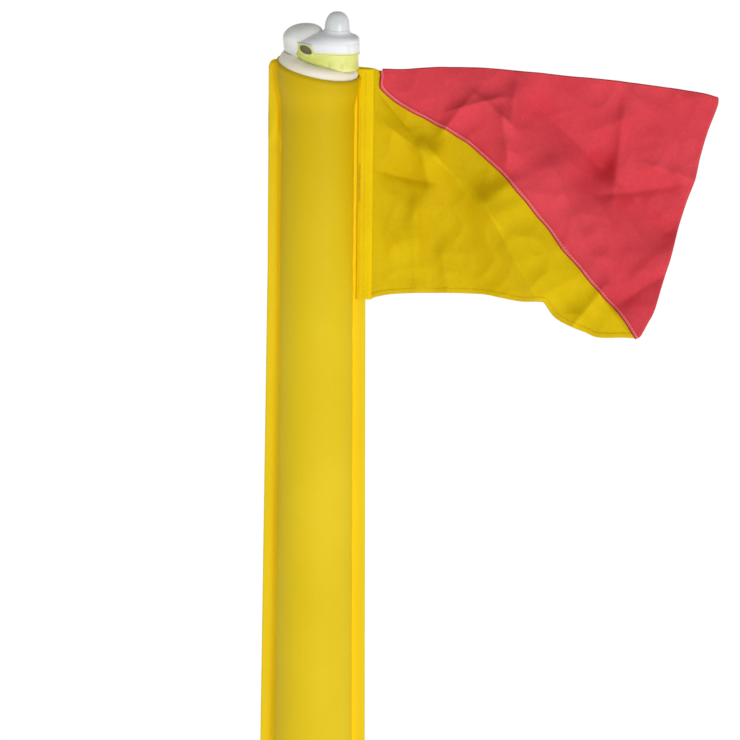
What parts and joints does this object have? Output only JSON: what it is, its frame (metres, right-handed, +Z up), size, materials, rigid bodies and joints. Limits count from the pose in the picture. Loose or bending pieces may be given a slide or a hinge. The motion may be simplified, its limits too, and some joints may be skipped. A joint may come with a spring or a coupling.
{
  "type": "inflatable marker pole with flag",
  "caption": "Tall air-filled fabric column on a weighted rubber foot, with a two-colour flag on one welded edge, a water-activated lamp on top and a gas inflator near the base.",
  "frame": {"origin": "centre of the foot's flat underside", "axes": "+Z up the column, +X towards the fly of the flag, -Y towards the side with the inflator"},
  "size_m": [0.4612, 0.1598, 1.8474],
  "materials": {
    "column_fabric": "coated fabric, satin, weld marks",
    "cap_fabric": "coated fabric, satin, off-white",
    "patch_fabric": "coated fabric, satin",
    "flag_red": "woven nylon, soft sheen",
    "flag_yellow": "woven nylon, soft sheen",
    "hoist_tape": "woven nylon, folded and sewn",
    "fluorescent_plastic": "translucent, fluorescent yellow-green",
    "frosted_plastic": "frosted, translucent white",
    "black_rubber": "matt, moulded",
    "circuit_board": "green lacquer",
    "diode_resin": "clear resin",
    "contact_metal": "plated",
    "cell_casing": "shrink film",
    "ballast_iron": "cast, blackened",
    "plated_steel": "zinc plated",
    "stainless_steel": "stainless, brushed",
    "eyelet_brass": "pressed, lightly tarnished",
    "nickelled_brass": "nickel plated, satin",
    "black_plastic": "moulded, fine grain",
    "green_plastic": "moulded",
    "lever_plastic": "glass-filled, moulded",
    "red_plastic": "moulded",
    "spring_steel": "drawn wire",
    "zinc_steel": "zinc plated steel",
    "cap_plastic": "moulded, yellow",
    "bobbin_paper": "pressed paper ring"
  },
  "bodies": {
    "pole": {"column_front_sheet": "column_fabric", "column_back_sheet": "column_fabric", "bottom_cap": "column_fabric", "top_cap": "cap_fabric", "flag_hoist_tape": "hoist_tape", "lamp_base": "fluorescent_plastic", "lamp_cover": "frosted_plastic", "lamp_lens": "frosted_plastic", "battery_pod": "frosted_plastic", "lens_seal": "black_rubber", "lamp_board": "circuit_board", "lamp_diode": "diode_resin", "water_contacts": "contact_metal", "battery_cell": "cell_casing", "foot_boot": "black_rubber", "ballast_pocket": "column_fabric", "ballast_discs": "ballast_iron", "ballast_bolt": "plated_steel", "ballast_nut": "plated_steel", "foot_clamp_band": "stainless_steel", "clamp_screw": "stainless_steel", "edge_eyelets": "eyelet_brass", "valve_patch": "patch_fabric", "valve_saddle": "black_plastic", "inflator_stem": "nickelled_brass", "inner_washer": "black_rubber", "outer_washer": "black_rubber", "cap_nut": "nickelled_brass", "inflator_body": "black_plastic", "lever_pin": "stainless_steel", "pin_seat": "nickelled_brass", "pin_spring": "spring_steel", "cylinder_seal": "black_rubber", "mouth_patch": "patch_fabric", "mouth_saddle": "black_plastic", "mouth_tube": "black_plastic", "poppet_spring": "spring_steel", "spring_ring": "black_plastic"},
    "flag": {"flag_red_panel": "flag_red", "flag_yellow_panel": "flag_yellow"},
    "lever": {"firing_lever": "lever_plastic", "pull_tab": "red_plastic", "tab_rivet": "stainless_steel"},
    "pin": {"firing_pin": "stainless_steel"},
    "cylinder": {"gas_cylinder": "zinc_steel"},
    "bobbin_holder": {"bobbin_cap": "cap_plastic", "water_bobbin": "bobbin_paper"},
    "clip": {"status_clip": "green_plastic"},
    "poppet": {"valve_poppet": "red_plastic"},
    "mouth_cap": {"dust_cap": "cap_plastic"}
  },
  "joints": [
    {"name": "flag_swing", "type": "hinge", "parent": "pole", "child": "flag", "pos_m": [0.052, 0, 1.67], "axis": [0, 0, 1], "range_deg": [-80, 80]},
    {"name": "lever_pull", "type": "hinge", "parent": "pole", "child": "lever", "pos_m": [0.02, -0.07155, 0.356], "axis": [0, -1, 0], "range_deg": [0, 90]},
    {"name": "pin_stroke", "type": "slide", "parent": "pole", "child": "pin", "axis": [0, 0, -1], "range_m": [0, 0.00339], "deforming": ["pin_spring"]},
    {"name": "cylinder_removal", "type": "slide", "parent": "pole", "child": "cylinder", "axis": [0, 0, -1], "range_m": [0, 0.016]},
    {"name": "bobbin_cap_removal", "type": "slide", "parent": "pole", "child": "bobbin_holder", "axis": [0, 0, -1], "range_m": [0, 0.012]},
    {"name": "clip_pull", "type": "slide", "parent": "pole", "child": "clip", "axis": [0, -1, 0], "range_m": [0, 0.008]},
    {"name": "poppet_press", "type": "slide", "parent": "pole", "child": "poppet", "axis": [0, 1, 0], "range_m": [0, 0.004], "stiffness_N_per_m": 250, "springref_m": -0.002, "deforming": ["poppet_spring"]},
    {"name": "dust_cap_pull", "type": "slide", "parent": "pole", "child": "mouth_cap", "axis": [0, -1, 0], "range_m": [0, 0.014]}
  ],
  "couplings": [
    {"joint": "pin_stroke", "follows": "lever_pull", "m_per_rad": 0.0021608}
  ]
}
